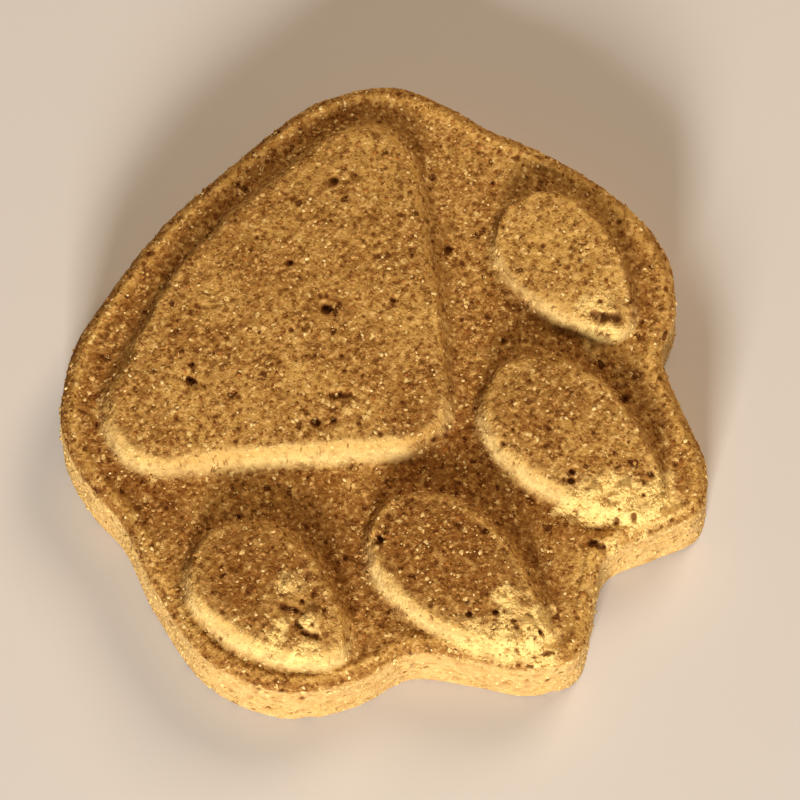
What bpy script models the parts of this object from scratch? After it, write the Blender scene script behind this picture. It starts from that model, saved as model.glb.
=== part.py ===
"""A dog biscuit pressed as a paw print: one baked slab with a heel pad and four toes raised on its top.

Metres, +Z up. The toes point towards +Y, the outer left toe lies at -X, and the origin is at the middle
of the flat underside. The whole biscuit is one solid.
"""

import math

import bmesh
import bpy
import numpy as np
from mathutils import Matrix

MM = 0.001
MERGE_DISTANCE = 0.001 * MM

# Slab
SLAB_THICKNESS = 8.1 * MM
SHOULDER_RADIUS = 1.1 * MM
WALL_DRAFT = 0.018
TRIM_DEPTH = 0.8 * MM
# Half the width of the boxes that trim the underside
TRIM_REACH = 60 * MM
# The slab's edge, clockwise from the notch between the inner toes: past the right-hand toes to the middle
# of the heel, then past the left-hand toes back to the notch
OUTLINE_MM = (
    (0.0, 23.8),
    (4.6, 25.8),
    (8.7, 27.4),
    (12.5, 25.0),
    (15.1, 20.7),
    (18.3, 16.0),
    (22.9, 13.9),
    (27.4, 9.8),
    (29.7, 2.6),
    (28.2, -5.4),
    (25.8, -11.4),
    (25.0, -16.1),
    (23.0, -20.9),
    (19.2, -24.2),
    (13.0, -26.6),
    (0.0, -27.2),
    (-13.0, -26.0),
    (-18.9, -23.6),
    (-22.6, -20.3),
    (-24.5, -15.7),
    (-25.6, -11.3),
    (-27.3, -5.2),
    (-27.8, 2.3),
    (-25.9, 9.0),
    (-22.2, 13.2),
    (-17.8, 15.3),
    (-14.9, 20.4),
    (-12.4, 25.0),
    (-8.7, 27.4),
    (-4.6, 25.8),
)
OUTLINE_STEPS = 6
# Slow swells of the edge: waves round it, height, place of a crest in degrees
EDGE_SWELLS = ((3, 0.30 * MM, 20.0), (5, 0.18 * MM, 150.0), (7, 0.12 * MM, 65.0))

# Heel pad, a rounded triangle with a bowed base, drawn round five discs: x, y, radius
HEEL_RISE = 2.7 * MM
HEEL_CROWN_RADIUS = 170 * MM
HEEL_MIDDLE_MM = (0.5, -10.5)
HEEL_DISCS_MM = (
    (0.9, 0.3, 4.8),
    (-13.1, -16.1, 5.8),
    (-2.5, -12.6, 11.0),
    (3.6, -12.8, 10.8),
    (14.7, -15.2, 6.1),
)

# Toes, each an egg with its narrow end at the rim: x, y, width, length, lean, narrowing, rise
TOE_CROWN_RADIUS = 60 * MM
# A toe is highest this share of its length behind its middle
TOE_CREST_SHARE = 0.12
TOES = {
    "outer_left": (-18.9, 3.7, 9.7, 16.3, 10.0, 0.28, 2.1),
    "inner_left": (-6.3, 14.9, 11.4, 19.8, 2.0, 0.24, 2.6),
    "inner_right": (10.1, 15.0, 11.0, 19.2, 1.0, 0.22, 2.6),
    "outer_right": (22.4, 3.5, 10.8, 16.8, 0.0, 0.24, 2.8),
}
RAISED_SHOULDER = 0.7 * MM
ROOT_DEPTH = 4.0 * MM
SPARE_HEIGHT = 1.5 * MM
ROUND_POINTS = 64
BEVEL_STEPS = 4
CROWN_STEPS = 24
CROWN_TURN_STEPS = 72
# The turned dome's radius, as a share of the raised shape's longer side
CROWN_REACH_SHARE = 1.2

# Crumb
DOUGH_VOXEL = 0.5 * MM
FILLET_ROUNDS = 6
CRUMB_VOXEL = 0.35 * MM
CRUMB_ROUNDS = 1
SMOOTH_SHARE = 0.5
SWELL_SCALE = 9.0 * MM
SWELL_HEIGHT = 0.50 * MM
GRAIN_SCALE = 1.9 * MM
GRAIN_HEIGHT = 0.22 * MM
FACES_WANTED = 9400

# Open pores that stand out one by one: x, y, width
PORES_MM = (
    (-1.3, -10.1, 1.3),
    (-2.5, -15.6, 0.9),
    (11.8, -15.1, 1.3),
    (10.6, -16.0, 0.8),
    (4.1, -4.0, 1.4),
    (7.6, -3.9, 1.2),
    (-13.6, -6.1, 1.0),
    (-11.4, -17.9, 1.1),
    (-5.8, -6.1, 0.8),
    (-12.6, 15.4, 1.0),
    (12.2, 7.3, 1.2),
)
# Torn crumb where a toe runs out to the rim: x, y, reach, number of pits
TORN_PATCHES_MM = (
    (-17.2, 9.6, 2.8, 9),
    (-6.4, 22.2, 4.0, 16),
    (-3.6, 22.6, 3.0, 6),
    (10.4, 21.6, 3.9, 16),
    (12.2, 22.8, 2.4, 5),
    (22.8, 9.0, 2.8, 12),
    (10.2, 25.4, 1.3, 4),
)
PIT_WIDTHS = (1.1 * MM, 2.2 * MM)
PIT_SQUEEZE = (0.75, 1.15)
# A single pore's middle lies this share of its width below the crust
PORE_SINK_SHARE = 0.1
PIT_SEED = 7

CRUST_COLOUR = (0.40, 0.19, 0.05, 1.0)
CRUST_ROUGHNESS = 0.85
SHARP_ANGLE = math.radians(50)


def clear_scene():
    """Starts from an empty scene."""
    for obj in list(bpy.data.objects):
        bpy.data.objects.remove(obj, do_unlink=True)


def new_collection(name):
    collection = bpy.data.collections.new(name)
    bpy.context.scene.collection.children.link(collection)
    return collection


def crust_material():
    material = bpy.data.materials.new("crust")
    material.use_nodes = True
    shader = material.node_tree.nodes["Principled BSDF"]
    shader.inputs["Base Color"].default_value = CRUST_COLOUR
    shader.inputs["Roughness"].default_value = CRUST_ROUGHNESS
    shader.inputs["Metallic"].default_value = 0.0
    return material


def closed_spline(points, steps):
    """A Catmull-Rom curve through a closed ring of points."""
    here = np.asarray(points, float)
    before, after, beyond = (np.roll(here, shift, axis=0) for shift in (1, -1, -2))
    a, b, c, d = (ring[:, None, :] for ring in (before, here, after, beyond))
    t = (np.arange(steps) / steps)[None, :, None]
    curve = 2 * b + (c - a) * t + (2 * a - 5 * b + 4 * c - d) * t**2 + (3 * b - a - 3 * c + d) * t**3
    return (0.5 * curve).reshape(-1, 2)


def slab_outline():
    """The slab's edge: a curve through the outline's points, moved in and out by the slow swells."""
    ring = closed_spline(np.array(OUTLINE_MM) * MM, OUTLINE_STEPS)
    radius = np.hypot(ring[:, 0], ring[:, 1])
    angle = np.arctan2(ring[:, 1], ring[:, 0])
    moved = radius.copy()
    for waves, height, crest in EDGE_SWELLS:
        moved += height * np.cos(waves * (angle - math.radians(crest)))
    return ring * (moved / radius)[:, None]


def heel_outline():
    """The edge of the hull of the heel's discs: for each direction, the furthest disc's point that way."""
    turn = np.linspace(0, 2 * math.pi, ROUND_POINTS, endpoint=False)
    way = np.stack([np.cos(turn), np.sin(turn)], axis=1)
    discs = np.array(HEEL_DISCS_MM) * MM
    furthest = (way @ discs[:, :2].T + discs[:, 2]).argmax(axis=1)
    return discs[furthest, :2] + discs[furthest, 2:] * way


def egg_outline(width, length, narrowing):
    """An egg about its own middle, with its long axis on Y and its narrow end at +Y."""
    turn = np.linspace(0, 2 * math.pi, ROUND_POINTS, endpoint=False)
    across = width / 2 * np.sin(turn) * (1 - narrowing * np.cos(turn))
    along = length / 2 * np.cos(turn)
    return np.stack([across, along], axis=1)[::-1]


def solid_from_outline(name, outline, low, high, bevel, collection):
    """An upright solid between two levels over a flat outline, with its top and bottom edges rounded."""
    curve = bpy.data.curves.new(name, "CURVE")
    curve.dimensions = "2D"
    curve.fill_mode = "BOTH"
    curve.extrude = (high - low) / 2 - bevel
    curve.bevel_depth = bevel
    curve.bevel_resolution = BEVEL_STEPS
    curve.offset = -bevel
    spline = curve.splines.new("POLY")
    spline.points.add(len(outline) - 1)
    for point, (x, y) in zip(spline.points, outline):
        point.co = (x, y, 0, 1)
    spline.use_cyclic_u = True
    drawn = bpy.data.objects.new(name + "_curve", curve)
    drawn.location.z = (high + low) / 2
    collection.objects.link(drawn)
    return mesh_from_curve(name, drawn, collection)


def mesh_from_curve(name, drawn, collection):
    """The curve object as a closed mesh object in its place."""
    bpy.context.view_layer.update()
    graph = bpy.context.evaluated_depsgraph_get()
    mesh = bpy.data.meshes.new_from_object(drawn.evaluated_get(graph))
    shape = bmesh.new()
    shape.from_mesh(mesh)
    bmesh.ops.remove_doubles(shape, verts=shape.verts, dist=MERGE_DISTANCE)
    bmesh.ops.recalc_face_normals(shape, faces=shape.faces)
    shape.to_mesh(mesh)
    shape.free()
    solid = bpy.data.objects.new(name, mesh)
    solid.matrix_world = drawn.matrix_world
    collection.objects.link(solid)
    bpy.data.objects.remove(drawn, do_unlink=True)
    return solid


def apply_modifiers(obj):
    """Fixes an object's modifiers into its mesh, in their order."""
    bpy.context.view_layer.objects.active = obj
    for name in [modifier.name for modifier in obj.modifiers]:
        bpy.ops.object.modifier_apply(modifier=name)


def make_slab(collection):
    """The slab, made deeper than it is so that the rounding of its lower edge can be cut away."""
    low = -SHOULDER_RADIUS - TRIM_DEPTH
    slab = solid_from_outline("biscuit", slab_outline(), low, SLAB_THICKNESS, SHOULDER_RADIUS, collection)
    slab.data.transform(slab.matrix_world)
    slab.matrix_world = Matrix.Identity(4)
    taper = slab.modifiers.new("wall draft", "SIMPLE_DEFORM")
    taper.deform_method = "TAPER"
    taper.deform_axis = "Z"
    taper.factor = -WALL_DRAFT
    apply_modifiers(slab)
    return slab


def make_crown(name, x, y, level, radius, reach, collection):
    """A turned solid with a domed top: the dome is part of a ball, highest at this place and level."""
    out = np.linspace(reach, 0, CROWN_STEPS)
    dome = level - out**2 / (2 * radius)
    profile = [(0.0, 0.0), (reach, 0.0)] + list(zip(out, dome))
    mesh = bpy.data.meshes.new(name)
    mesh.from_pydata([(a, 0, z) for a, z in profile], [(i, i + 1) for i in range(len(profile) - 1)], [])
    crown = bpy.data.objects.new(name, mesh)
    crown.location = (x, y, 0)
    collection.objects.link(crown)
    turned = crown.modifiers.new("turned", "SCREW")
    turned.steps = CROWN_TURN_STEPS
    turned.render_steps = CROWN_TURN_STEPS
    turned.use_merge_vertices = True
    turned.merge_threshold = MERGE_DISTANCE
    turned.use_normal_calculate = True
    return as_cutter(crown)


def make_raised(name, outline, x, y, rise, crown, collection, cutters):
    """A raised shape: an upright solid over its outline, its top cut to a dome."""
    top = SLAB_THICKNESS + rise + SPARE_HEIGHT
    raised = solid_from_outline(name, outline, SLAB_THICKNESS - ROOT_DEPTH, top, RAISED_SHOULDER, collection)
    crest_x, crest_y, radius = crown
    reach = CROWN_REACH_SHARE * np.ptp(outline, axis=0).max()
    dome = make_crown(name + "_crown", crest_x, crest_y, SLAB_THICKNESS + rise, radius, reach, cutters)
    raised.data.transform(Matrix.Translation((x, y, raised.location.z)))
    raised.matrix_world = Matrix.Identity(4)
    boolean(raised, "domed top", "INTERSECT", dome)
    apply_modifiers(raised)
    bpy.data.objects.remove(dome, do_unlink=True)
    return raised


def make_heel(collection, cutters):
    x, y = (value * MM for value in HEEL_MIDDLE_MM)
    crown = (x, y, HEEL_CROWN_RADIUS)
    return make_raised("heel_pad", heel_outline(), 0, 0, HEEL_RISE, crown, collection, cutters)


def make_toe(name, size, collection, cutters):
    """A toe that leans as it does on the print and falls away towards the rim."""
    x, y, width, length, lean, narrowing, rise = size
    turn = math.radians(lean)
    egg = egg_outline(width * MM, length * MM, narrowing)
    outline = egg @ np.array([[math.cos(turn), -math.sin(turn)], [math.sin(turn), math.cos(turn)]])
    behind = TOE_CREST_SHARE * length
    crown = ((x - behind * math.sin(turn)) * MM, (y - behind * math.cos(turn)) * MM, TOE_CROWN_RADIUS)
    return make_raised(name, outline, x * MM, y * MM, rise * MM, crown, collection, cutters)


def make_box(name, low, high, collection):
    """A box between two corners, kept out of renders."""
    bpy.ops.mesh.primitive_cube_add(size=1)
    box = bpy.context.object
    box.name = name
    box.location = [(a + b) / 2 for a, b in zip(low, high)]
    box.scale = [b - a for a, b in zip(low, high)]
    move_to(box, collection)
    return as_cutter(box)


def move_to(obj, collection):
    for holder in list(obj.users_collection):
        holder.objects.unlink(obj)
    collection.objects.link(obj)


def as_cutter(obj):
    obj.hide_render = True
    obj.display_type = "WIRE"
    return obj


def boolean(obj, name, operation, other):
    """Adds a Boolean with one object or with a whole collection."""
    modifier = obj.modifiers.new(name, "BOOLEAN")
    modifier.operation = operation
    modifier.solver = "EXACT"
    if isinstance(other, bpy.types.Collection):
        modifier.operand_type = "COLLECTION"
        modifier.collection = other
    else:
        modifier.object = other
    return modifier


def make_pit(name, place, width, rng, collection):
    """A pit's cutter: a small ball squeezed unevenly and turned at random, sunk by half into the crust."""
    bpy.ops.mesh.primitive_ico_sphere_add(subdivisions=1, radius=width / 2, location=place)
    pit = bpy.context.object
    pit.name = name
    pit.rotation_euler = rng.uniform(0, math.pi, 3)
    pit.scale = rng.uniform(*PIT_SQUEEZE, 3)
    move_to(pit, collection)
    return as_cutter(pit)


def crust_level(crust, x, y):
    """The height of the crust's top above a point of the underside, or None beside the biscuit."""
    hit, place, _, _ = crust.ray_cast((x, y, 3 * SLAB_THICKNESS), (0, 0, -1))
    return place.z if hit else None


def make_pits(biscuit, collection):
    """Cutters for the open pores and for the torn crumb at the ends of the toes."""
    rng = np.random.default_rng(PIT_SEED)
    for index, (x, y, width) in enumerate(PORES_MM):
        level = crust_level(biscuit, x * MM, y * MM) - PORE_SINK_SHARE * width * MM
        make_pit(f"pore_{index}", (x * MM, y * MM, level), width * MM, rng, collection)
    for index, (x, y, reach, count) in enumerate(TORN_PATCHES_MM):
        for pit in range(count):
            turn = rng.uniform(0, 2 * math.pi)
            away = reach * MM * math.sqrt(rng.uniform())
            px = x * MM + away * math.cos(turn)
            py = y * MM + away * math.sin(turn)
            width = rng.uniform(*PIT_WIDTHS)
            level = crust_level(biscuit, px, py)
            if level is not None:
                make_pit(f"torn_{index}_{pit}", (px, py, level), width, rng, collection)


def remesh(biscuit, voxel, rounds):
    """Makes one even mesh of a shape and softens its edges."""
    even = biscuit.modifiers.new("even mesh", "REMESH")
    even.mode = "VOXEL"
    even.voxel_size = voxel
    soft = biscuit.modifiers.new("soft edges", "SMOOTH")
    soft.factor = SMOOTH_SHARE
    soft.iterations = rounds
    apply_modifiers(biscuit)


def make_uneven(biscuit):
    """Makes the crust uneven, except below the underside."""
    crust = biscuit.vertex_groups.new(name="crust")
    crust.add([v.index for v in biscuit.data.vertices if v.co.z > -DOUGH_VOXEL], 1.0, "REPLACE")
    for name, scale, height in (("swell", SWELL_SCALE, SWELL_HEIGHT), ("grain", GRAIN_SCALE, GRAIN_HEIGHT)):
        clouds = bpy.data.textures.new(name, "CLOUDS")
        clouds.noise_scale = scale
        uneven = biscuit.modifiers.new(name, "DISPLACE")
        uneven.texture = clouds
        uneven.strength = height
        uneven.mid_level = 0.5
        uneven.vertex_group = "crust"
    apply_modifiers(biscuit)


def thin_faces(biscuit):
    """Merges faces where the crust is plain, down to the number wanted."""
    triangles = sum(len(face.vertices) - 2 for face in biscuit.data.polygons)
    thinned = biscuit.modifiers.new("fewer faces", "DECIMATE")
    thinned.ratio = FACES_WANTED / triangles
    apply_modifiers(biscuit)


def centre_over_origin(biscuit):
    """Moves the biscuit sideways until the middle of its box stands over the origin."""
    corners = [point.co for point in biscuit.data.vertices]
    aside = [-(max(c[axis] for c in corners) + min(c[axis] for c in corners)) / 2 for axis in (0, 1)]
    biscuit.data.transform(Matrix.Translation((*aside, 0)))


def build():
    clear_scene()
    kept = new_collection("paw_print_biscuit")
    cutters = new_collection("cutters")
    cutters.hide_render = True
    raised = new_collection("raised_shapes")

    biscuit = make_slab(kept)
    make_heel(raised, cutters)
    for name, size in TOES.items():
        make_toe(name, size, raised, cutters)

    low = (-TRIM_REACH, -TRIM_REACH, -TRIM_REACH)
    spare = make_box("spare_dough", low, (TRIM_REACH, TRIM_REACH, -TRIM_DEPTH), cutters)
    boolean(biscuit, "raised shapes", "UNION", raised)
    boolean(biscuit, "spare dough", "DIFFERENCE", spare)
    apply_modifiers(biscuit)
    for shape in list(raised.objects):
        bpy.data.objects.remove(shape, do_unlink=True)
    bpy.data.collections.remove(raised)
    bpy.data.objects.remove(spare, do_unlink=True)

    remesh(biscuit, DOUGH_VOXEL, FILLET_ROUNDS)
    make_uneven(biscuit)
    pits = new_collection("pits")
    make_pits(biscuit, pits)
    boolean(biscuit, "pits", "DIFFERENCE", pits)
    remesh(biscuit, CRUMB_VOXEL, CRUMB_ROUNDS)
    for pit in list(pits.objects):
        bpy.data.objects.remove(pit, do_unlink=True)
    bpy.data.collections.remove(pits)
    thin_faces(biscuit)
    centre_over_origin(biscuit)

    floor = make_box("underside", low, (TRIM_REACH, TRIM_REACH, 0), cutters)
    boolean(biscuit, "flat underside", "DIFFERENCE", floor)
    biscuit.data.materials.clear()
    biscuit.data.materials.append(crust_material())
    biscuit.data.shade_smooth()
    biscuit.data.set_sharp_from_angle(angle=SHARP_ANGLE)


build()
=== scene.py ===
"""A dog biscuit pressed as a paw print, dressed as baked whole-grain dough.

The toes point towards +Y and the flat underside lies on the floor. Sizes are in millimetres until a mesh is
made. The crust is one closed surface that takes the place of the solid, and its grains, bran and crumbs are
small closed bodies half sunk in it.
"""

import functools
import itertools
import logging
import math
from collections.abc import Mapping, Sequence
from dataclasses import dataclass, field
from enum import Enum

import bpy
import numpy as np
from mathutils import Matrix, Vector


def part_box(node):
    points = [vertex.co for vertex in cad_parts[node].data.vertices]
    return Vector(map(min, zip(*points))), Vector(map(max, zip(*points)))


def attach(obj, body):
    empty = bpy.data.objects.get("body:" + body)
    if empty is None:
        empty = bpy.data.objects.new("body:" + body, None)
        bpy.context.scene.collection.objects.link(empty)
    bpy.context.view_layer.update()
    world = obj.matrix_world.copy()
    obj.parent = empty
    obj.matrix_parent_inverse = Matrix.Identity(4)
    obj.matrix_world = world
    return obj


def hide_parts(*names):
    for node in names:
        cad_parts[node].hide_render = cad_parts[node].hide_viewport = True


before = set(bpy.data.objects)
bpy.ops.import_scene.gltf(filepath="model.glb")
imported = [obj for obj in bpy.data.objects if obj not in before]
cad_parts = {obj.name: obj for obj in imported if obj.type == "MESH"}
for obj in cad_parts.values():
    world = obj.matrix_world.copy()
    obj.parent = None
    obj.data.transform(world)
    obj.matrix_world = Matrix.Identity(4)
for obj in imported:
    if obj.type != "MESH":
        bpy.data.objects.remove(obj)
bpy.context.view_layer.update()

MM = 0.001
FULL_TURN = 2 * math.pi
QUARTER_TURN = math.pi / 2
# Lengths below which a difference in level, and a row to bring to a length of 1, count as none
HAIR = 1e-6
NO_LENGTH = 1e-12
FIRST_GRAIN_SEED = 100

Array = np.ndarray
Socket = bpy.types.NodeSocket
Colour = tuple[float, float, float, float]
Span = tuple[float, float, float, float]
Marks = tuple[tuple[float, ...], ...]

log = logging.getLogger("biscuit")


def ease(share: Array) -> Array:
    """Carries 0..1 to 0..1 with level ends: 6 s to the 5th less 15 s to the 4th plus 10 s cubed.

    Args:
        share: values, held between 0 and 1 first.

    Returns:
        The eased values.
    """
    held = np.clip(share, 0.0, 1.0)
    return held**3 * (held * (held * 6 - 15) + 10)


def bevel(share: Array, foot: float, crest: float) -> Array:
    """Carries 0..1 to 0..1 along a straight slope with a rounded foot and a rounded crest.

    Within foot of 0 it is (s + foot) squared over 4 foot, within crest of 1 it is 1 less (1 + crest - s)
    squared over 4 crest, and between them s itself.

    Args:
        share: how far along the slope, below 0 before it and above 1 past it.
        foot: share of the slope that its foot's rounding takes.
        crest: share of the slope that its crest's rounding takes.

    Returns:
        The height as a share of the whole.
    """
    low = np.maximum(share + foot, 0) ** 2 / (4 * foot)
    high = 1 - np.maximum(1 + crest - share, 0) ** 2 / (4 * crest)
    return np.where(share < foot, low, np.where(share > 1 - crest, high, share))


def bell(values: Array, middle: float, width: float) -> Array:
    """1 at the middle, falling off as e to the power of less the square of the way from it over the width."""
    return np.exp(-(((values - middle) / width) ** 2))


def unit(rows: Array) -> Array:
    """Each row at a length of 1."""
    return rows / np.maximum(np.linalg.norm(rows, axis=-1, keepdims=True), NO_LENGTH)


def even_turns(count: int) -> tuple[Array, Array]:
    """Even steps of angle once round, and each one's cosine and sine in a row."""
    turn = np.arange(count) * FULL_TURN / count
    return turn, np.stack([np.cos(turn), np.sin(turn)], axis=1)


def round_marks(
    places: Array, marks: Array, reach: float | Array, start: float | Array, stray: float | Array = 0.0,
) -> Array:
    """How far inside each round mark the points are: the eased start less the distance over the reach.

    Args:
        places: points seen from above, one a row.
        marks: one mark a row, its x and y first.
        reach: one number for all marks, or one a row.
        start: one number for all marks, or one a row.
        stray: millimetres added to the distances at each point.

    Returns:
        A row for each mark, 0 to 1.
    """
    away = np.hypot(places[:, 0] - marks[:, :1], places[:, 1] - marks[:, 1:2]) + stray
    return ease(start - away / reach)


class Clouds:
    """Smooth random values in space, from random directions at the points of a cubic lattice."""

    # Widens the values to about -1 to 1, and sets the layers' patterns apart
    spread: float = 1.5
    layer_shift: float = 7.3

    def __init__(self, seed: int, size: int = 40) -> None:
        """Draws the directions.

        Args:
            seed: seed of the draw.
            size: lattice points a side before the pattern repeats.
        """
        self.size = size
        self.ways = unit(np.random.default_rng(seed).normal(size=(size, size, size, 3)))

    def at(self, places: Array, spacing: float) -> Array:
        """Values of about -1 to 1: each lattice point's direction times the way to it, blended between eight.

        Args:
            places: points, one a row.
            spacing: lattice spacing.

        Returns:
            One value for each point.
        """
        scaled = places / spacing
        base = np.floor(scaled).astype(int)
        part = scaled - base
        blend = ease(part)
        total = np.zeros(len(places))
        for corner in itertools.product((0, 1), repeat=3):
            cell = (base + corner) % self.size
            pull = np.einsum("ij,ij->i", self.ways[cell[:, 0], cell[:, 1], cell[:, 2]], part - corner)
            total += pull * np.prod(np.where(corner, blend, 1 - blend), axis=1)
        return self.spread * total

    def layered(self, places: Array, spacing: float, layers: int, fade: float = 0.55) -> Array:
        """The sum of layers, each half the spacing and a share of the height of the one before.

        Args:
            places: points, one a row.
            spacing: spacing of the coarsest layer.
            layers: number of layers.
            fade: share of its height that each layer keeps from the one before.

        Returns:
            One value for each point.
        """
        total = np.zeros(len(places))
        for layer in range(layers):
            total += fade**layer * self.at(places + self.layer_shift * layer, spacing / 2**layer)
        return total


@dataclass(frozen=True)
class Bumps:
    """Random unevenness of one kind: height, spacing, layers, and a shift that sets its pattern apart."""

    height: float
    spacing: float
    layers: int
    shift: float

    def at(self, clouds: Clouds, places: Array) -> Array:
        """The height at each point."""
        return self.height * clouds.layered(places + self.shift, self.spacing, self.layers)


@dataclass(frozen=True)
class Hollows:
    """Round hollows strewn in space, at most one to each cell of a cubic lattice.

    The cells are at least as wide as the largest radius. The share is of the cells that hold a hollow, and
    the stretch is how much longer the hollows are along each axis.
    """

    seed: int
    spacing: float
    radii: tuple[float, float]
    share: float
    stretch: tuple[float, float, float] = (1.0, 1.0, 1.0)
    size: int = 40

    def depth(self, places: Array) -> Array:
        """Depth of the deepest hollow at each point: 1 less the square of distance over radius.

        Args:
            places: points, one a row.

        Returns:
            1 at a hollow's middle, 0 at its edge and beside it.
        """
        draw = np.random.default_rng(self.seed)
        shape = (self.size,) * 3
        middles = draw.uniform(0, 1, (*shape, 3))
        radii = draw.uniform(*self.radii, shape) / self.spacing
        present = draw.uniform(0, 1, shape) < self.share
        scaled = places / (self.spacing * np.array(self.stretch))
        base = np.floor(scaled).astype(int)
        deepest = np.zeros(len(places))
        for step in itertools.product((-1, 0, 1), repeat=3):
            cell = (base + step) % self.size
            index = (cell[:, 0], cell[:, 1], cell[:, 2])
            away = np.linalg.norm(base + step + middles[index] - scaled, axis=1)
            hollow = 1 - (away / radii[index]) ** 2
            deepest = np.maximum(deepest, np.where(present[index], hollow, 0.0))
        return deepest


@dataclass(frozen=True)
class SlabEdge:
    """The slab's edge seen from above, as it stands where the wall meets the shoulder."""

    # Clockwise from the notch between the inner toes to the middle of the heel
    right: Marks = (
        (0.0, 23.8), (4.6, 25.8), (8.7, 27.4), (12.5, 25.0), (15.1, 20.7), (18.3, 16.0), (22.9, 13.9),
        (27.4, 9.8), (29.7, 2.6), (28.2, -5.4), (25.8, -11.4), (25.0, -16.1), (23.0, -20.9), (19.2, -24.2),
        (13.0, -26.6), (0.0, -27.2),
    )
    # And on back to the notch
    left: Marks = (
        (-13.0, -26.0), (-18.9, -23.6), (-22.6, -20.3), (-24.5, -15.7), (-25.6, -11.3), (-27.3, -5.2),
        (-27.8, 2.3), (-25.9, 9.0), (-22.2, 13.2), (-17.8, 15.3), (-14.9, 20.4), (-12.4, 25.0), (-8.7, 27.4),
        (-4.6, 25.8),
    )
    # Waves round the edge, their height and the place of a crest in degrees
    swells: Marks = ((3, 0.30, 20.0), (5, 0.18, 150.0), (7, 0.12, 65.0))
    # Points of the ring between two of the edge's, and directions in the table
    steps: int = 48
    samples: int = 2880

    def ring(self) -> Array:
        """The edge as a closed ring: a Catmull-Rom curve through its points.

        Returns:
            Points seen from above, one a row.
        """
        here = np.array(self.right + self.left)
        before, after, beyond = (np.roll(here, shift, axis=0) for shift in (1, -1, -2))
        a, b, c, d = (points[:, None, :] for points in (before, here, after, beyond))
        t = (np.arange(self.steps) / self.steps)[None, :, None]
        curve = 2 * b + (c - a) * t + (2 * a - 5 * b + 4 * c - d) * t**2 + (3 * b - a - 3 * c + d) * t**3
        return (0.5 * curve).reshape(-1, 2)

    def table(self) -> tuple[Array, Array, Array]:
        """The edge by direction, with its swells: each adds its height times the cosine of so many waves.

        Returns:
            Even steps of angle, and the edge's points and outward normals there.
        """
        x, y = self.ring().T
        turn, ways = even_turns(self.samples)
        reach = np.interp(turn, np.arctan2(y, x), np.hypot(x, y), period=FULL_TURN)
        for waves, height, crest in self.swells:
            reach += height * np.cos(waves * (turn - math.radians(crest)))
        points = reach[:, None] * ways
        along = np.roll(points, -2, axis=0) - np.roll(points, 2, axis=0)
        return turn, points, unit(np.stack([along[:, 1], -along[:, 0]], axis=1))


@dataclass(frozen=True)
class RaisedShape:
    """A raised shape with a domed top and soft flanks; its outline is given by its kinds below."""

    rise: float
    crown_radius: float
    crest: tuple[float, float]
    # Width of the flank, and lines that touch the outline
    flank: float = 1.2
    directions: int = 96

    def outline(self) -> Array:
        """Points of the outline, which bulges outwards all round."""
        raise NotImplementedError

    def inside(self, places: Array) -> Array:
        """How far inside the outline a point is: the least distance to the lines that touch the outline.

        Args:
            places: points seen from above, one a row.

        Returns:
            Millimetres, negative outside.
        """
        _, ways = even_turns(self.directions)
        reach = (self.outline() @ ways.T).max(axis=0)
        return (reach - places @ ways.T).min(axis=1)

    def height(self, places: Array) -> Array:
        """Height of the top over the slab: the rise less distance squared over twice the crown's radius."""
        away = places - np.array(self.crest)
        return self.rise - (away**2).sum(axis=1) / (2 * self.crown_radius)


@dataclass(frozen=True)
class HeelPad(RaisedShape):
    """The heel pad, a rounded triangle with a bowed base, drawn round discs given by x, y and radius."""

    discs: Marks = ()
    points: int = 128

    def outline(self) -> Array:
        """For each direction, the point of the furthest disc that way.

        Returns:
            Points seen from above, one a row.
        """
        _, ways = even_turns(self.points)
        discs = np.array(self.discs)
        furthest = (ways @ discs[:, :2].T + discs[:, 2]).argmax(axis=1)
        return discs[furthest, :2] + discs[furthest, 2:] * ways


@dataclass(frozen=True)
class Toe(RaisedShape):
    """A toe, an egg with its narrow end towards the rim, that leans from +Y by some degrees."""

    middle: tuple[float, float] = (0.0, 0.0)
    width: float = 10.0
    length: float = 16.0
    lean: float = 0.0
    narrowing: float = 0.25
    points: int = 128

    def outline(self) -> Array:
        """Half the width times sin a times (1 - narrowing cos a) across, half the length times cos a along.

        Returns:
            Points seen from above, one a row.
        """
        cosine, sine = even_turns(self.points)[1].T
        across = self.width / 2 * sine * (1 - self.narrowing * cosine)
        along = self.length / 2 * cosine
        lean = math.radians(self.lean)
        x = across * math.cos(lean) + along * math.sin(lean)
        y = along * math.cos(lean) - across * math.sin(lean)
        return np.stack([x, y], axis=1) + np.array(self.middle)


class ToeOf(Enum):
    """The four toes: middle, width, length, lean in degrees, narrowing, rise, width of the flank."""

    OUTER_LEFT = ((-18.9, 3.7), 9.7, 16.3, 10.0, 0.28, 2.1, 0.60)
    INNER_LEFT = ((-6.3, 14.9), 11.4, 19.8, 2.0, 0.24, 2.6, 0.85)
    INNER_RIGHT = ((10.1, 15.0), 11.0, 19.2, 1.0, 0.22, 2.6, 0.90)
    OUTER_RIGHT = ((22.4, 3.5), 10.8, 16.8, 0.0, 0.24, 2.8, 0.95)

    def shape(self, crown_radius: float = 60.0, crest_share: float = 0.12) -> Toe:
        """The toe with its crest behind its middle.

        Args:
            crown_radius: radius of its domed top.
            crest_share: how far behind its middle the crest is, as a share of its length.

        Returns:
            The toe.
        """
        (x, y), width, length, lean, narrowing, rise, flank = self.value
        behind, turn = crest_share * length, math.radians(lean)
        crest = (x - behind * math.sin(turn), y - behind * math.cos(turn))
        return Toe(rise, crown_radius, crest, flank, middle=(x, y), width=width, length=length, lean=lean,
                   narrowing=narrowing)


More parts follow.
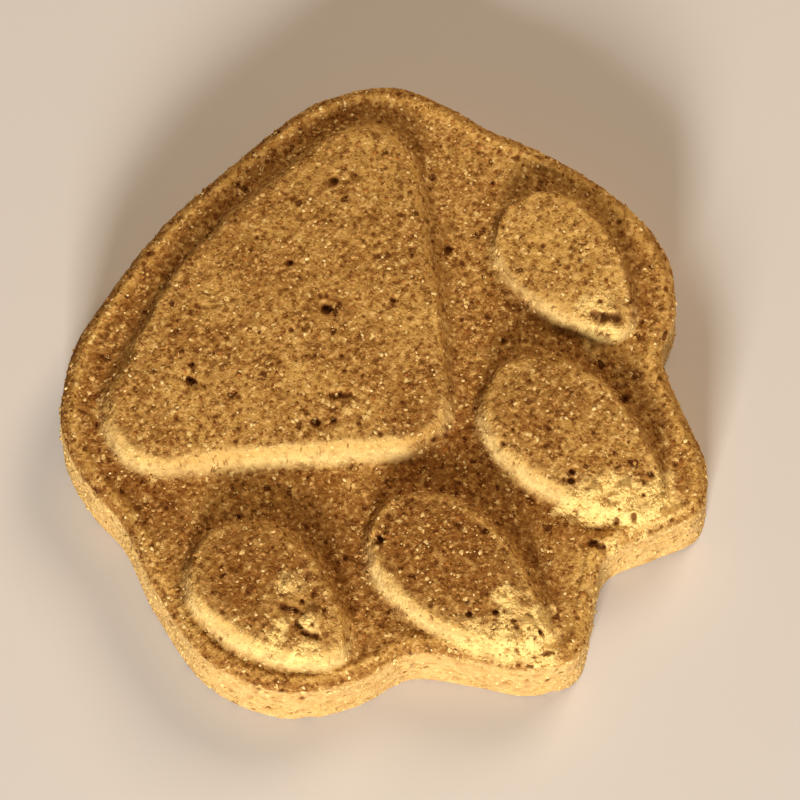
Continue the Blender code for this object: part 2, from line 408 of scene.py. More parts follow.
@dataclass
class Relief:
    """The raised print, and the single pores, cracks, knobs, torn places and patches on it; the darker
    patches are partly baked browning and partly painted shade, the paler ones partly fading and partly
    painted light.
    """

    thickness: float = 8.1
    heel: HeelPad = HeelPad(2.7, 170.0, (0.5, -10.5), discs=(
        (0.9, 0.3, 4.8), (-13.1, -16.1, 5.8), (-2.5, -12.6, 11.0), (3.6, -12.8, 10.8), (14.7, -15.2, 6.1),
    ))
    # Each pore's x, y and width
    pores: Marks = (
        (-1.3, -10.1, 1.3), (-2.5, -15.6, 0.9), (11.8, -15.1, 1.3), (10.6, -16.0, 0.8), (4.4, -3.9, 0.8),
        (6.4, -2.8, 0.8), (7.6, -3.9, 1.2), (-13.6, -6.1, 1.0), (-11.4, -17.9, 1.1), (-5.8, -6.1, 0.8),
        (-12.6, 15.4, 1.0), (12.4, 7.4, 1.3), (-3.5, 16.6, 0.8), (-2.8, 17.1, 0.9), (-8.0, 22.1, 0.8),
        (10.9, 19.7, 0.8), (12.6, 18.1, 0.9), (10.5, 21.4, 0.7), (-1.5, 10.2, 0.8), (9.5, 23.9, 0.8),
        (-6.1, 22.8, 0.6), (-2.9, 22.3, 0.7), (-4.0, 23.4, 0.7), (21.2, 6.1, 0.6),
    )
    pore_depth_share: float = 0.55
    # Each crack's two ends in x, y and z, then its width
    cracks: Marks = (
        (10.3, 25.3, 8.1, 9.8, 26.5, 7.7, 0.24), (12.8, 24.2, 8.0, 12.0, 25.3, 7.8, 0.22),
        (7.6, 22.6, 8.4, 8.2, 23.6, 8.2, 0.26), (5.0, -4.5, 10.6, 3.7, -3.1, 10.6, 0.42),
        (-16.9, 8.9, 9.7, -17.9, 10.4, 9.5, 0.60), (-14.8, 8.9, 9.2, -15.9, 10.5, 9.0, 0.5),
        (-0.9, 20.6, 8.2, -1.5, 21.6, 8.1, 0.28), (-0.1, 22.0, 8.1, -0.6, 23.0, 8.1, 0.4),
        (22.6, 5.0, 10.8, 22.3, 6.7, 10.7, 0.42), (22.9, 7.0, 10.7, 23.2, 7.8, 10.6, 0.38),
        (23.4, 8.0, 10.5, 22.8, 9.1, 10.4, 0.44), (20.5, 8.1, 10.4, 20.8, 9.0, 10.2, 0.26),
        (9.0, 28.0, 3.6, 13.4, 26.0, 3.2, 0.4), (-12.0, 26.4, 4.4, -8.0, 28.2, 4.0, 0.35),
        (24.0, -20.6, 4.8, 20.4, -24.0, 5.0, 0.35),
    )
    crack_depth_share: float = 0.65
    crack_start: float = 1.15
    # Each knob's x, y, reach and height
    knobs: Marks = (
        (21.9, 8.0, 1.0, 0.40), (20.9, 4.3, 0.75, 0.20), (-5.4, 20.9, 0.8, 0.30), (-3.4, 19.2, 0.65, 0.25),
        (11.6, 22.4, 0.75, 0.28), (9.9, 22.6, 0.6, 0.25), (-16.0, 9.6, 0.55, 0.22), (4.9, -2.7, 0.65, 0.20),
    )
    # Each torn place's x, y and reach
    torn: Marks = (
        (-17.2, 8.6, 1.0), (-15.6, 10.2, 0.9), (-2.0, 18.2, 1.4), (-3.0, 20.0, 1.8), (-4.6, 19.9, 1.2),
        (-4.4, 22.0, 2.1), (-6.0, 24.0, 1.9), (-8.0, 23.2, 0.9), (13.0, 20.0, 1.3), (11.8, 21.8, 1.7),
        (10.2, 23.6, 1.9), (9.4, 19.6, 0.9), (8.8, 22.6, 1.2), (22.1, 7.9, 0.9), (21.1, 4.2, 0.8),
        (25.4, 6.4, 1.0), (24.6, 9.0, 1.1), (10.2, 25.6, 1.0), (-3.3, 25.0, 0.6), (4.9, -2.6, 0.15),
        (-1.2, 23.2, 0.6), (1.9, 23.1, 0.4), (3.2, 24.2, 0.4),
    )
    torn_fade: float = 1.6
    # Each patch's x, y, reach and share; the darker patches are partly browned in baking and partly painted
    # shade, the paler ones below partly faded and partly painted light
    browned: Marks = (
        (10.8, 9.5, 7.5, 1.0), (8.8, 14.5, 6.0, 1.0), (22.4, 2.0, 6.5, 1.0), (2.2, 6.5, 6.5, 0.9),
        (-6.4, 10.0, 4.5, 0.35), (2.2, 17.0, 5.0, 0.7), (16.6, 7.0, 4.0, 0.6), (-13.5, 12.0, 4.0, 0.4),
        (-17.6, 9.9, 1.5, 1.0), (-2.8, 22.4, 1.3, 0.6), (-5.0, 25.2, 1.6, 0.9), (23.0, -12.0, 5.5, 0.9),
        (17.0, -24.0, 5.0, 0.9), (15.0, 17.0, 3.5, 0.5), (-12.5, 1.5, 4.5, 0.45), (28.2, 7.2, 1.9, 0.8),
        (28.8, 3.2, 1.9, 0.8), (26.2, 10.2, 2.0, 0.7), (22.8, 7.3, 1.9, 1.0), (14.2, 21.6, 2.0, 0.6),
        (-9.6, -24.4, 3.0, 0.55), (-13.8, -23.6, 3.0, 0.55), (-17.8, -21.6, 2.6, 0.5),
        (-4.0, -25.0, 3.5, 0.5), (3.0, -25.2, 3.5, 0.5), (10.0, -25.0, 3.5, 0.6), (22.5, -17.6, 4.2, 0.8),
        (12.8, 1.8, 3.6, 0.8),
    )
    faded: Marks = (
        (-17.2, 6.4, 3.2, 0.9), (-20.0, 1.4, 4.6, 1.0), (22.2, 5.4, 2.6, 0.6), (-14.2, -13.8, 3.5, 0.4),
        (4.0, -18.0, 3.0, 0.4), (11.0, -12.0, 4.5, 0.15), (-9.0, -4.0, 5.0, 0.35), (-16.0, -3.0, 5.0, 0.35),
        (-9.0, 17.5, 2.5, 0.5), (5.5, -6.5, 3.0, 0.5), (-7.4, 27.0, 2.6, 1.0), (-16.0, 11.9, 1.6, 0.9),
        (-19.2, 7.2, 1.8, 1.0), (-17.4, 6.2, 1.3, 1.0), (-15.8, 15.2, 2.0, 0.6), (-25.6, 3.6, 2.8, 1.0),
        (-17.2, -18.6, 2.6, 1.0), (-2.4, 24.5, 2.2, 1.0), (1.6, 23.2, 2.4, 1.0), (6.6, 25.4, 2.0, 0.9),
        (-24.6, -1.4, 2.6, 0.7), (-22.8, -5.6, 2.4, 0.6),
    )
    # Where the flanks are not painted pale, neither as rubbed nor as lit
    dulled: Marks = (
        (2.2, 4.8, 2.7, 0.85), (-4.6, 3.2, 3.0, 0.6), (16.6, -9.3, 4.6, 0.3), (-15.4, 1.2, 3.6, 0.45),
    )
    # What is eased at the middle of a pore or knob, and of a patch: past 1, so that their middles are flat
    mark_start: float = 1.25
    patch_start: float = 1.3
    # Where the straight part of a flank starts, inwards from the outline, and how round its ends are
    flank_start: float = -0.30
    foot_round: float = 0.38
    crest_round: float = 0.18
    # Painted shade lies in a band round the foot of each raised shape, a painted highlight in a narrow band
    # along each flank's upper edge, and the lit flanks' painted light within a wider one
    groove_middle: float = -1.4
    groove_width: float = 1.5
    rim_middle: float = 0.75
    rim_width: float = 0.36
    crest_width: float = 0.65
    far_outside: float = -1e3

    def __post_init__(self) -> None:
        """Makes the raised shapes."""
        self.shapes: list[RaisedShape] = [self.heel, *(toe.shape() for toe in ToeOf)]

    def lifted(self, places: Array, slab: Array, wander: Array, stray: Array) -> tuple[Array, ...]:
        """Levels with the print: between the slab and each dome by the bevelled share of the flank passed.

        Args:
            places: points seen from above, one a row.
            slab: the slab's own level at each point.
            wander: how many times their own width the flanks are at each point.
            stray: how far the flanks stand out at each point.

        Returns:
            The level, the share of the way up a raised shape, how deep in a groove round its foot, 0 to 1,
            where shade is painted, and how near the upper edge of a flank, 0 to 1, within a narrow band,
            painted as a highlight, and within a wide one, painted pale where the flank faces the main light.
        """
        level = slab.copy()
        up = np.zeros(len(places))
        nearest = np.full(len(places), self.far_outside)
        for shape in self.shapes:
            inside = shape.inside(places) + stray
            passed = (inside - self.flank_start) / (shape.flank * wander)
            share = bevel(passed, self.foot_round, self.crest_round)
            top = self.thickness + shape.height(places)
            level = np.maximum(level, slab + share * (top - slab))
            up = np.maximum(up, share)
            nearest = np.maximum(nearest, inside)
        # Painted shade in the groove round each shape's foot, a painted highlight along the upper edge
        groove = bell(nearest, self.groove_middle, self.groove_width)
        rim = bell(nearest, self.rim_middle, self.rim_width)
        return level, up, groove, rim, bell(nearest, self.rim_middle, self.crest_width)

    def strongest(self, places: Array, patches: Marks, start: float) -> Array:
        """The most that round patches of x, y, reach and a value at the middle give at each point."""
        table = np.array(patches)
        return (table[:, 3:] * round_marks(places, table, table[:, 2:3], start)).max(axis=0)

    def pore_depth(self, places: Array) -> tuple[Array, Array]:
        """Depth in millimetres of the single pores, and the same as a share, each a rounded pit.

        Args:
            places: points seen from above, one a row.

        Returns:
            The depths and the shares.
        """
        pores = np.array(self.pores)
        pits = round_marks(places, pores, pores[:, 2:] / 2, self.mark_start)
        return (self.pore_depth_share * pores[:, 2:] * pits).max(axis=0), pits.max(axis=0)

    def crack_depth(self, places: Array, ragged: Array) -> tuple[Array, Array]:
        """Depth in millimetres of the cracks, and the same as a share, each a groove along a short line.

        Args:
            places: points, one a row.
            ragged: millimetres by which the cracks' sides stray at each point.

        Returns:
            The depths and the shares.
        """
        depth, share = np.zeros((2, len(places)))
        for *ends, width in self.cracks:
            start = np.array(ends[:3])
            way = np.array(ends[3:]) - start
            along = np.clip((places - start) @ way / (way @ way), 0, 1)
            away = np.linalg.norm(places - start - along[:, None] * way, axis=1) + ragged
            groove = ease(self.crack_start - away / width)
            depth = np.maximum(depth, self.crack_depth_share * width * groove)
            share = np.maximum(share, groove)
        return depth, share

    def torn_share(self, places: Array, ragged: Array) -> Array:
        """How torn the crumb is: half at a patch's reach, and 0 to 1 across its border, which is ragged."""
        torn, fade = np.array(self.torn), self.torn_fade
        return round_marks(places, torn, fade, torn[:, 2:] / fade + 0.5, ragged).max(axis=0)


@dataclass
class Surface:
    """A closed surface in millimetres: points, four-sided and three-sided faces, and values on the points."""

    points: Array
    quads: Array
    triangles: Array
    values: dict[str, Array] = field(default_factory=dict)

    def into_mesh(self, name: str) -> bpy.types.Mesh:
        """Puts the surface into a new mesh, in metres, with its values as attributes.

        Args:
            name: the mesh's name.

        Returns:
            The mesh, shaded smooth.
        """
        mesh = bpy.data.meshes.new(name)
        mesh.from_pydata((self.points * MM).tolist(), [], self.quads.tolist() + self.triangles.tolist())
        mesh.shade_smooth()
        for key, value in self.values.items():
            layer = mesh.attributes.new(key, "FLOAT", "POINT")
            layer.data.foreach_set("value", value.astype(np.float32))
        return mesh

    def crossed(self, faces: Array) -> Array:
        """Each face's way out, twice its area long: the cross product of its diagonals."""
        ends = self.points[faces]
        return np.cross(ends[:, 2] - ends[:, 0], ends[:, -1] - ends[:, 1])

    def normals(self) -> Array:
        """Unit normals at the points, each the mean of its faces' by area.

        Returns:
            One normal for each point.
        """
        total = np.zeros_like(self.points)
        for faces in (self.quads, self.triangles):
            across = self.crossed(faces)
            for column in faces.T:
                np.add.at(total, column, across)
        return unit(total)

    def areas(self) -> Array:
        """Each point's share of the surface: a quarter of each four-sided face round it.

        Returns:
            Square millimetres, one value for each point.
        """
        area = np.linalg.norm(self.crossed(self.quads), axis=1) / 2
        total = np.zeros(len(self.points))
        for column in self.quads.T:
            np.add.at(total, column, area / 4)
        return total


def add_piece(name: str, mesh: bpy.types.Mesh, material: bpy.types.Material) -> bpy.types.Object:
    """Makes an object of a mesh, with its finish, on the one body.

    Args:
        name: the piece's name.
        mesh: its mesh.
        material: its finish.

    Returns:
        The object.
    """
    piece = bpy.data.objects.new(name, mesh)
    bpy.context.scene.collection.objects.link(piece)
    mesh.materials.append(material)
    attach(piece, "root")
    return piece


class SquareGrid:
    """A square grid of points drawn out to a disc, whose border ring joins on to other rings."""

    def __init__(self, side: int) -> None:
        """Works out each point's share of the way out and its direction.

        Args:
            side: number of cells along a side.
        """
        line = np.linspace(-1, 1, side + 1)
        a, b = (grid.ravel() for grid in np.meshgrid(line, line))
        wide = np.abs(a) > np.abs(b)
        reach = np.where(wide, a, b)
        part = np.where(wide, b, a) / np.where(reach == 0, 1, reach) * math.pi / 4
        angle = np.where(wide, part, QUARTER_TURN - part)
        self.share = np.abs(reach)
        self.turn = np.arctan2(reach * np.sin(angle), reach * np.cos(angle))
        self.number = np.arange((side + 1) ** 2).reshape(side + 1, -1)

    def faces(self) -> Array:
        """The cells, seen anticlockwise from above.

        Returns:
            Four corners a row.
        """
        number = self.number
        corners = (number[:-1, :-1], number[:-1, 1:], number[1:, 1:], number[1:, :-1])
        return np.stack([corner.ravel() for corner in corners], axis=1)

    def border(self) -> Array:
        """The border's points, anticlockwise from the corner at the lower left."""
        number = self.number
        return np.concatenate([number[0, :-1], number[:-1, -1], number[-1, :0:-1], number[:0:-1, 0]])


@dataclass
class CrustForm:
    """The crust's surface: a domed print on top, a round shoulder, an upright wall and a flat underside."""

    edge: SlabEdge = field(default_factory=SlabEdge)
    relief: Relief = field(default_factory=Relief)
    shoulder: float = 1.0
    foot: float = 0.45
    # How much wider the slab gets for each millimetre down its wall
    draft: float = 0.0016
    top_side: int = 240
    shoulder_rings: int = 8
    wall_rings: int = 24
    foot_rings: int = 3
    under_side: int = 120
    under_inset: float = 0.3

    def __post_init__(self) -> None:
        """Works out the edge by direction, and the level of the wall's upper end."""
        self.angles, self.edge_points, self.edge_normals = self.edge.table()
        self.wall_top = self.relief.thickness - self.shoulder

    def edge_at(self, turn: Array) -> tuple[Array, Array]:
        """Reads the edge's table in given directions.

        Args:
            turn: the directions.

        Returns:
            The edge's points and outward normals there.
        """
        columns = np.concatenate([self.edge_points, self.edge_normals], axis=1).T
        found = [np.interp(turn, self.angles, column, period=FULL_TURN) for column in columns]
        return np.stack(found[:2], axis=1), np.stack(found[2:], axis=1)

    def top(self, share: Array, turn: Array) -> tuple[Array, Array, Array]:
        """The slab's top and shoulder: straight out to the shoulder, then a quarter circle over it.

        Args:
            share: 0 at the middle, 1 at the foot of the shoulder.
            turn: direction from the middle.

        Returns:
            Points, the share of the shoulder passed, and the distance in from the edge.
        """
        flat = 1 - 2 * self.shoulder_rings / self.top_side
        points, normals = self.edge_at(turn)
        rolled = np.clip((share - flat) / (1 - flat), 0, 1)
        roll = rolled * QUARTER_TURN
        across = np.minimum(share / flat, 1)
        inner = points - self.shoulder * normals
        out = self.shoulder * np.sin(roll)
        level = self.relief.thickness - self.shoulder * (1 - np.cos(roll))
        inwards = np.linalg.norm(inner, axis=1) * (1 - across) + self.shoulder - out
        places = inner * across[:, None] + out[:, None] * normals
        return np.column_stack([places, level]), rolled, inwards

    def wall(self, turn: Array) -> list[Array]:
        """Rings down the wall and round its foot: the edge drawn out with depth, then a quarter circle.

        Args:
            turn: direction of each point of a ring.

        Returns:
            One array of points for each ring, from the top down.
        """
        points, normals = self.edge_at(turn)
        rings = []
        for level in np.linspace(self.wall_top, self.foot, self.wall_rings + 1)[1:]:
            wider = points * (1 + self.draft * (self.wall_top - level))
            rings.append(np.insert(wider, 2, level, axis=1))
        outer = rings[-1][:, :2]
        for step in range(1, self.foot_rings + 1):
            roll = step / self.foot_rings * QUARTER_TURN
            inset = self.foot * (1 - math.cos(roll))
            level = self.foot * (1 - math.sin(roll))
            rings.append(np.insert(outer - inset * normals, 2, level, axis=1))
        return rings

    def underside(self, grid: SquareGrid) -> Array:
        """The flat underside's points, straight out from the middle to just inside the foot.

        Args:
            grid: how far out each point is, and which way.

        Returns:
            The points, one a row.
        """
        points, normals = self.edge_at(grid.turn)
        wider = points * (1 + self.draft * (self.wall_top - self.foot))
        reach = wider - (self.foot + self.under_inset) * normals
        return np.insert(reach * grid.share[:, None], 2, 0.0, axis=1)

    def build(self) -> Surface:
        """Joins top, wall and underside into one closed surface, its faces outwards.

        The underside has half the border points of the wall's last ring, so three triangles join each of
        its border's steps to two of the ring's.

        Returns:
            The surface before any unevenness. Its values are the share of the shoulder passed, 1 on the
            underside, and the distance in from the edge.
        """
        top = SquareGrid(self.top_side)
        under = SquareGrid(self.under_side)
        top_points, rolled, inwards = self.top(top.share, top.turn)
        border = top.border()
        rings = self.wall(top.turn[border])
        under_points = self.underside(under)
        points = np.concatenate([top_points, *rings, under_points])

        count = len(border)
        starts = len(top_points) + count * np.arange(len(rings))
        loops = [border] + [start + np.arange(count) for start in starts]
        bands = [np.stack([low, np.roll(low, -1), np.roll(high, -1), high], axis=1)
                 for high, low in zip(loops, loops[1:])]
        under_start = len(points) - len(under_points)
        quads = np.concatenate([top.faces(), *bands, under_start + under.faces()[:, ::-1]])

        outer, inner = loops[-1], under_start + under.border()
        outer_next, inner_next = np.roll(outer, -1), np.roll(inner, -1)
        triangles = np.concatenate([
            np.stack([inner, outer_next[::2], outer[::2]], axis=1),
            np.stack([inner, inner_next, outer_next[::2]], axis=1),
            np.stack([inner_next, outer_next[1::2], outer[1::2]], axis=1),
        ])

        rest = len(points) - len(top_points)
        values = {
            "rolled": np.append(rolled, np.ones(rest)),
            "under": np.repeat([0.0, 1.0], [under_start, len(under_points)]),
            "inwards": np.append(inwards, np.zeros(rest)),
        }
        return Surface(points, quads, triangles, values)


class PitsOf(Enum):
    """The pits: their zone, their depth in millimetres, how dark they are painted as shade, and hollows with
    a share each.
    """

    TOP = ("top", 0.12, 1.0, (Hollows(12, 0.9, (0.18, 0.42), 0.24), 1.0))
    WALL = ("wall", 0.26, 0.5, (Hollows(13, 1.1, (0.30, 0.75), 0.42, (1.5, 1.5, 0.8)), 1.0))
    TORN = ("torn", 0.42, 0.8, (Hollows(14, 0.9, (0.20, 0.50), 0.24), 1.0),
            (Hollows(16, 1.5, (0.50, 1.00), 0.30), 0.45))
    UNDER = ("under", 0.14, 0.6, (Hollows(15, 1.3, (0.30, 0.80), 0.30), 1.0))

    def shares(self, places: Array, zones: Mapping[str, Array]) -> Array:
        """How deep in these pits the points are, 0 to 1."""
        zone, _, _, *kinds = self.value
        return zones[zone] * np.max([share * hollows.depth(places) for hollows, share in kinds], axis=0)


@dataclass
class Crust:
    """The biscuit's crust: the form made uneven, grained, pitted and torn as baked dough is."""

    form: CrustForm = field(default_factory=CrustForm)
    seed: int = 11
    # How the flanks' width and place vary, and the sides of torn places and cracks
    flank_wander: Bumps = Bumps(0.25, 5.0, 1, 0)
    flank_stray: Bumps = Bumps(0.20, 2.4, 3, 53)
    ragged: Bumps = Bumps(1.4, 1.9, 3, 31)
    fray: Bumps = Bumps(0.14, 0.7, 2, 91)
    # What the ragged millimetres are taken times to move the cracks, move the knobs and fray the cracks
    crack_stray: tuple[float, float, float] = (0.3, -0.3, 0.0)
    knob_stray: float = 0.25
    crack_fray: float = 0.15
    bumps: tuple[Bumps, ...] = (Bumps(0.20, 9.0, 1, 3), Bumps(0.055, 2.1, 1, 17), Bumps(0.075, 0.8, 2, 29))
    torn_lumps: Bumps = Bumps(0.26, 1.1, 2, 43)
    # The unevenness fades out below this height
    even_below: float = 1.5
    lip_height: float = 0.27
    lip_inset: float = 1.15
    lip_width: float = 0.44
    lip_swells: Bumps = Bumps(0.9, 8.0, 1, 71)
    # How far over the shoulder the wall's finish starts
    wall_start: float = 0.6
    # The flanks are painted paler on the side that faces the main light, the palest facing this way, and
    # those in the shade keep a small share; this painted light lies over flanks rubbed pale
    main_light_way: tuple[float, float] = (0.77, 0.64)
    lit_start: float = 0.27
    lit_slope: float = 1.3
    shaded_share: float = 0.06
    # The zones that the finishes read from the points
    read_zones: tuple[str, ...] = (
        "flank", "groove", "rim", "wall", "torn", "browned", "faded", "pit", "under",
    )

    def raise_print(self, clouds: Clouds, surface: Surface) -> dict[str, Array]:
        """Lifts the print from the slab's top.

        Args:
            clouds: the random values.
            surface: the plain form, whose points are moved.

        Returns:
            The zones by name, each as values of 0 to 1 on the points.
        """
        places, under = surface.points, surface.values["under"]
        wander = 1 + self.flank_wander.at(clouds, places)
        stray = self.flank_stray.at(clouds, places)
        level, up, groove, rim, crest = self.form.relief.lifted(places[:, :2], places[:, 2], wander, stray)
        upper = (places[:, 2] > self.form.wall_top - HAIR) & (under == 0)
        places[:, 2] = np.where(upper, level, places[:, 2])
        wall = ease((surface.values["rolled"] - self.wall_start) / (1 - self.wall_start)) * (1 - under)
        lip = bell(surface.values["inwards"], self.lip_inset, self.lip_width) * upper * (1 - up)
        # The groove carries painted shade; the rim, along the flanks' upper edges and the lip, a painted
        # highlight
        return {"upper": upper, "under": under, "top": 1 - under, "wall": wall, "up": up, "crest": crest,
                "lip": lip, "groove": groove * upper, "rim": np.maximum(rim * upper, lip)}

    def rubbed_and_lit(self, places: Array, normals: Array, zones: Mapping[str, Array]) -> Array:
        """How pale the flanks are, partly rubbed and partly painted light: most halfway up and at the upper
        edge, and on the side that faces the main light.

        Args:
            places: points, one a row.
            normals: the normals there.
            zones: the zones by name.

        Returns:
            The shares.
        """
        relief, up = self.form.relief, zones["up"]
        # Painted light: a flank is painted paler the more it faces the main light
        lit = ease(self.lit_start + self.lit_slope * normals[:, :2] @ np.array(self.main_light_way))
        kept = zones["upper"] * (1 - relief.strongest(places, relief.dulled, relief.patch_start))
        halfway = 4 * up * (1 - up) * (self.shaded_share + (1 - self.shaded_share) * lit)
        return np.maximum(halfway, zones["crest"] * lit) * kept

    def build(self) -> Surface:
        """The crust's surface, centred over the solid, with its zones and hollows as values on its points.

        Returns:
            The surface.
        """
        clouds = Clouds(self.seed)
        relief = self.form.relief
        surface = self.form.build()
        places = surface.points
        zones = self.raise_print(clouds, surface)
        upper, top = zones["upper"], zones["top"]

        ragged = self.ragged.at(clouds, places)
        torn = zones["torn"] = relief.torn_share(places, ragged) * upper
        pore, pore_share = relief.pore_depth(places)
        frayed = self.crack_fray * ragged + self.fray.at(clouds, places)
        crack, crack_share = relief.crack_depth(places + ragged[:, None] * self.crack_stray, frayed)
        knobs = relief.strongest(places + self.knob_stray * ragged[:, None], relief.knobs, relief.mark_start)
        normals = surface.normals()
        zones["flank"] = self.rubbed_and_lit(places, normals, zones)

        pits = {kind: kind.shares(places, zones) for kind in PitsOf}
        depths = {kind: kind.value[1] * share for kind, share in pits.items()}
        # The underside's pits go straight up, so that it stays flat between them
        raised = depths.pop(PitsOf.UNDER)
        out = sum(bumps.at(clouds, places) for bumps in self.bumps) * top
        out *= ease(places[:, 2] / self.even_below)
        out += self.lip_height * zones["lip"] * (1 + self.lip_swells.at(clouds, places))
        out += torn * self.torn_lumps.at(clouds, places) + knobs * upper
        out -= sum(depths.values())
        out -= np.maximum(pore * upper, crack * top)
        places += normals * out[:, None]
        places[:, 2] = np.maximum(places[:, 2] + raised, 0.0)

        # Darker patches, partly browned and partly painted shade, and paler ones, partly faded and partly
        # painted light
        for name in ("browned", "faded"):
            zones[name] = relief.strongest(places, getattr(relief, name), relief.patch_start) * upper
        low, high = (np.array(corner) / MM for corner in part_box("biscuit"))
        places[:, :2] += (low + high)[:2] / 2 - (places.max(axis=0) + places.min(axis=0))[:2] / 2
        # Painted shade: the pits, pores and cracks are darkened the deeper a point lies in them
        dark = [kind.value[2] * share for kind, share in pits.items()]
        zones["pit"] = np.maximum.reduce([*dark, pore_share * upper, crack_share * top])
        surface.values = {name: zones[name] for name in self.read_zones}
        return surface


class GrainKind(Enum):
    """What is strewn: name, count, half sizes of least and greatest, how far sunk, points round and rings.

    Last is how much more or less likely it is in some of the crust's zones.
    """

    CREAM = ("cream_grains", 1600, (0.09, 0.07, 0.05), (0.27, 0.20, 0.12), 0.45, 7, 3, {})
    BRAN = ("bran_flakes", 1300, (0.10, 0.08, 0.03), (0.34, 0.22, 0.05), 0.35, 7, 3,
            {"torn": -0.6, "wall": -0.8, "flank": -0.85})
    CRUMB = ("crust_crumbs", 8500, (0.10, 0.09, 0.06), (0.34, 0.28, 0.17), 0.55, 5, 2,
             {"torn": 25 / 3, "flank": -0.5})


@dataclass
class Grains:
    """One kind of grain, strewn over the crust as small closed bodies half sunk in it."""

    kind: GrainKind
    seed: int
    lumpiness: float = 0.20
    tilt: float = 0.35
    # The higher, the more of the grains are small
    size_power: float = 1.8
    least_height: float = 0.5
    most_pit: float = 0.2
    # How far a grain takes on the pale tone of its zone, which on the flanks is partly painted light
    paleness: tuple[tuple[str, float], ...] = (("torn", 1.0), ("flank", 0.9), ("wall", 0.6))

    def body(self) -> tuple[Array, Array, Array]:
        """A ball as rings between two poles: cos a high and sin a wide, at even steps of a.

        Returns:
            Points, four-sided faces and three-sided faces.
        """
        *_, around, rings, _ = self.kind.value
        heights = np.cos(np.arange(1, rings + 1) * math.pi / (rings + 1))
        ways = even_turns(around)[1]
        wide = np.sqrt(1 - heights**2)[:, None, None] * ways
        points = np.column_stack([wide.reshape(-1, 2), np.repeat(heights, around)])
        points = np.concatenate([points, [[0, 0, 1], [0, 0, -1]]])
        number = np.arange(rings * around).reshape(rings, -1)
        after = np.roll(number, -1, axis=1)
        quads = np.stack([number[1:], after[1:], after[:-1], number[:-1]], axis=-1).reshape(-1, 4)
        top, bottom = np.full((2, around), [[len(points) - 2], [len(points) - 1]])
        caps = np.stack([[number[0], after[0], top], [after[-1], number[-1], bottom]])
        return points, quads, caps.transpose(0, 2, 1).reshape(-1, 3)

    def weights(self, crust: Surface) -> Array:
        """How likely a grain is at each of the crust's points: by area, and none in pits or underneath.

        Args:
            crust: the crust's surface.

        Returns:
            The chances, which add up to 1.
        """
        weight = crust.areas() * (crust.points[:, 2] > self.least_height)
        weight *= crust.values["pit"] < self.most_pit
        for zone, liking in self.kind.value[-1].items():
            weight *= 1 + liking * crust.values[zone]
        return weight / weight.sum()

    def build(self, crust: Surface) -> Surface:
        """Places every grain: a squeezed and turned ball, its flat side along the crust, sunk a little.

        Args:
            crust: the crust's surface.

        Returns:
            All the grains as one surface, with a tone and a paleness for each.
        """
        _, count, least, greatest, sink, *_ = self.kind.value
        draw = np.random.default_rng(self.seed)
        points, quads, triangles = self.body()
        chosen = draw.choice(len(crust.points), count, p=self.weights(crust))
        up = unit(crust.normals()[chosen] + draw.normal(0, self.tilt, (count, 3)))
        aside = unit(np.cross(up, draw.normal(size=(count, 3))))
        axes = np.stack([aside, np.cross(up, aside), up], axis=1)
        size = draw.uniform(0, 1, (count, 1)) ** self.size_power
        half = np.array(least) * (1 - size) + np.array(greatest) * size
        lumps = 1 + self.lumpiness * draw.normal(size=(count, len(points), 1))
        balls = points[None] * half[:, None, :] * lumps
        middles = crust.points[chosen] - up * half[:, 2:] * sink
        placed = np.einsum("nvi,nij->nvj", balls, axes) + middles[:, None, :]
        shift = (np.arange(count) * len(points))[:, None, None]
        tone = draw.uniform(0, 1, count)
        pale = np.max([share * crust.values[zone][chosen] for zone, share in self.paleness], axis=0)
        values = {"tone": np.repeat(tone, len(points)), "pale": np.repeat(pale, len(points))}
        faces = ((part + shift).reshape(-1, part.shape[1]) for part in (quads, triangles))
        return Surface(placed.reshape(-1, 3), *faces, values)


